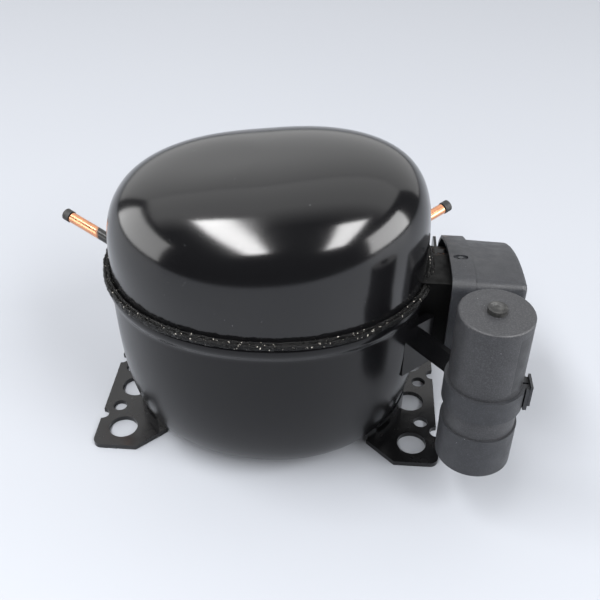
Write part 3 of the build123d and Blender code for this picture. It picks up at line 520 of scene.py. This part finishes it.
def build_guard(material):
    """The black guard round the terminals, reaching from the shell into the cover's open side."""
    low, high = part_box("terminal_cover")
    inset = 4.6 * MM
    front, back = low[1] + inset, high[1] - inset - 2 * MM
    bottom, top = low[2] + inset, high[2] - inset
    rim = low[0] + 3 * MM
    wall = 1.2 * MM
    sunk = 2.5 * MM
    dome_foot = LIP_TOP + 4 * MM
    dome_power = 3.6
    corners = [(front, bottom), (back, bottom), (back, bottom + 25 * MM), (42 * MM, top - 20 * MM),
               (10 * MM, top - 4.6 * MM), (front, top)]
    outline = []
    for (y0, z0), (y1, z1) in zip(corners, corners[1:] + corners[:1]):
        for t in np.linspace(0, 1, 12, endpoint=False):
            outline.append((y0 + (y1 - y0) * t, z0 + (z1 - z0) * t))
    middle = Vector(((front + back) / 2, (bottom + top) / 2))
    vertices = []
    for y, z in outline:
        inward = (middle - Vector((y, z))).normalized() * wall
        for dy, dz in ((0, 0), inward):
            reach = DOME_RADIUS
            if z >= dome_foot:
                up = min(1, (z - LIP_TOP) / CROWN_HEIGHT)
                reach = DOME_RADIUS * (1 - up ** dome_power) ** (1 / dome_power)
            near = reach * math.sqrt(max(0, 1 - ((y + dy) / (reach * OVAL)) ** 2)) - sunk
            vertices += [(near, y + dy, z + dz), (rim, y + dy, z + dz)]
    faces = []
    count = len(outline)
    for i in range(count):
        a, b = i * 4, (i + 1) % count * 4
        faces += [(a, b, b + 1, a + 1), (a + 3, b + 3, b + 2, a + 2), (a + 1, b + 1, b + 3, a + 3),
                  (a + 2, b + 2, b, a)]
    obj = make_object("terminal_guard", vertices, faces, material, False)
    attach(obj, "shell")


# ------------------------------------------------------------------ finishing of the CAD pieces
def soften(node, width, segments=3, angle=35):
    """Rounds a CAD piece's sharp edges as paint or moulding does."""
    obj = NODES[node]
    for polygon in obj.data.polygons:
        polygon.use_smooth = True
    bevel = obj.modifiers.new("edge", "BEVEL")
    bevel.width = width
    bevel.segments = segments
    bevel.limit_method = "ANGLE"
    bevel.angle_limit = math.radians(angle)
    bevel.harden_normals = True


def dress(material, *names):
    for name in names:
        data = NODES[name].data
        data.materials.clear()
        data.materials.append(material)


def dress_everything():
    dress(foot_black(), "left_foot", "right_foot")
    dress(satin_black(), "terminal_bracket", "capacitor_bracket", "tube_collars", "spring_studs")
    dress(matte_plastic("cover_plastic", (0.014, 0.015, 0.018)), "terminal_cover", "capacitor_cup",
          "capacitor_strap", "strap_buckle")
    dress(capacitor_plastic(), "capacitor_can")
    dress(rubber(), "suction_plug", "process_plug", "discharge_plug", "vent_plug")
    dress(copper("suction_copper", 0.107, -1), "suction_tube")
    dress(copper("process_copper", 0.08, 1), "process_tube")
    dress(copper("discharge_copper", 0.0655, -1), "discharge_tube", "discharge_line")
    dress(steel("plated_steel", (0.6, 0.6, 0.58), 0.25), "terminal_body", "terminal_pins", "capacitor_tabs",
          "stator_bolts", "head_screws", "muffler_bolt")
    dress(steel("spring_steel", (0.34, 0.35, 0.37), 0.3), "suspension_springs", "suction_reed",
          "discharge_reed", "valve_stop")
    dress(steel("ground_steel", (0.55, 0.55, 0.57), 0.18, 900), "valve_plate", "piston",
          "slide_yoke", "slide_block", "oil_plug", "oil_pickup", "thrust_washer", "discharge_muffler")
    dress(steel("die_cast_aluminium", (0.72, 0.73, 0.75), 0.38, 300), "cylinder_head", "rotor_cage")
    dress(laminated(), "stator_core", "rotor_core")
    dress(cast_iron(), "cylinder_block", "crankshaft")
    dress(varnished_copper(), "stator_winding")
    dress(plain("pale_plastic", (0.72, 0.7, 0.64), 0.45), "suction_muffler", "cluster_block", "spring_caps")
    dress(plain("relay_plastic", (0.004, 0.004, 0.004), 0.4), "start_relay")
    dress(plain("protector_shell", (0.004, 0.004, 0.004), 0.2), "overload_protector")
    dress(plain("gasket_fibre", (0.1, 0.13, 0.11), 0.8, 1500), "cylinder_gasket", "head_gasket")
    dress(plain("lead_insulation", (0.4, 0.04, 0.03), 0.4), "motor_leads")
    dress(plain("fused_glass", (0.1, 0.16, 0.12), 0.08, 200, Coat_Weight=1.0), "glass_beads")


def soften_everything():
    for node in ("left_foot", "right_foot"):
        soften(node, 0.5 * MM)
    for node in ("terminal_cover", "capacitor_cup", "capacitor_strap", "strap_buckle"):
        soften(node, 0.35 * MM, 2)
    for node in ("suction_plug", "process_plug", "discharge_plug", "vent_plug"):
        soften(node, 0.35 * MM, 3)
    for node in ("terminal_bracket", "capacitor_bracket", "tube_collars", "start_relay", "overload_protector",
                 "cluster_block", "cylinder_head", "head_screws", "crankshaft", "slide_yoke", "piston"):
        soften(node, 0.2 * MM, 2)
    for node in ("suction_tube", "process_tube", "discharge_tube"):
        soften(node, 0.15 * MM, 2)
    for node, obj in NODES.items():
        if not obj.modifiers:
            soften(node, 0.08 * MM, 1, 40)


# ------------------------------------------------------------------ studio
CEILING = 1.6
# Name, place in plan, size, turn in degrees, brightness.
STRIPS = (
    ("strip_left", (-0.58, -0.87), (0.36, 2.1), 7.0, 24.0),
    ("strip_right", (1.3, -1.25), (0.7, 1.9), 19.0, 19.0),
)
# Name, place, target, size, brightness. The fades end the ceiling's reflection softly.
WALLS = (
    ("back_wall", (0, 2.7, 1.25), (0, 0, 1.25), (6.0, 2.3), 0.95),
    ("upper_wall", (0, 1.65, 2.4), (0, 1.65, 0), (6.0, 2.0), 1.25),
    ("fade_1", (0, 0.55, 2.4), (0, 0.55, 0), (6.0, 0.2), 1.05),
    ("fade_2", (0, 0.35, 2.4), (0, 0.35, 0), (6.0, 0.2), 0.8),
    ("fade_3", (0, 0.15, 2.4), (0, 0.15, 0), (6.0, 0.2), 0.55),
    ("fade_4", (0, -0.05, 2.4), (0, -0.05, 0), (6.0, 0.2), 0.32),
    ("fade_5", (0, -0.25, 2.4), (0, -0.25, 0), (6.0, 0.2), 0.14),
    ("left_window", (-2.3, 0.1, 0.8), (0, 0.1, 0.7), (2.6, 1.35), 4.2),
    ("right_window", (2.5, -0.35, 0.75), (0, -0.35, 0.7), (2.0, 1.2), 8.0),
)


def make_area(name, location, size, radiance):
    """A rectangular lamp of a given brightness."""
    data = bpy.data.lights.new(name, "AREA")
    data.shape = "RECTANGLE"
    data.size, data.size_y = size
    data.energy = math.pi * size[0] * size[1] * radiance
    lamp = bpy.data.objects.new(name, data)
    bpy.context.scene.collection.objects.link(lamp)
    lamp.location = location
    return lamp


def make_studio():
    """A pale floor that ends behind the camera, strip lamps overhead and panel lamps all round."""
    side, near, far = 3.0, -0.95, 3.5
    floor = make_object("floor", [(-side, near, 0), (side, near, 0), (side, far, 0), (-side, far, 0)],
                        [(0, 1, 2, 3)], floor_material(), False)
    world = bpy.data.worlds.new("studio")
    bpy.context.scene.world = world
    world.use_nodes = True
    background = world.node_tree.nodes["Background"]
    background.inputs["Color"].default_value = (0.9, 0.95, 1.0, 1)
    background.inputs["Strength"].default_value = 0.05
    for name, (x, y), size, turn, radiance in STRIPS:
        make_area(name, (x, y, CEILING), size, radiance).rotation_euler.z = math.radians(turn)
    for name, location, target, size, radiance in WALLS:
        lamp = make_area(name, location, size, radiance)
        lamp.rotation_euler = (Vector(target) - Vector(location)).to_track_quat("-Z", "Y").to_euler()


# ------------------------------------------------------------------ build
bpy.context.scene.view_settings.view_transform = "Standard"
make_camera()
make_studio()
dress_everything()
soften_everything()
build_upper_shell(gloss_black())
build_lower_shell(satin_black())
build_weld(weld_black())
build_guard(plain("guard_plastic", (0.0015, 0.0015, 0.0015), 0.5, Specular_IOR_Level=0.1))
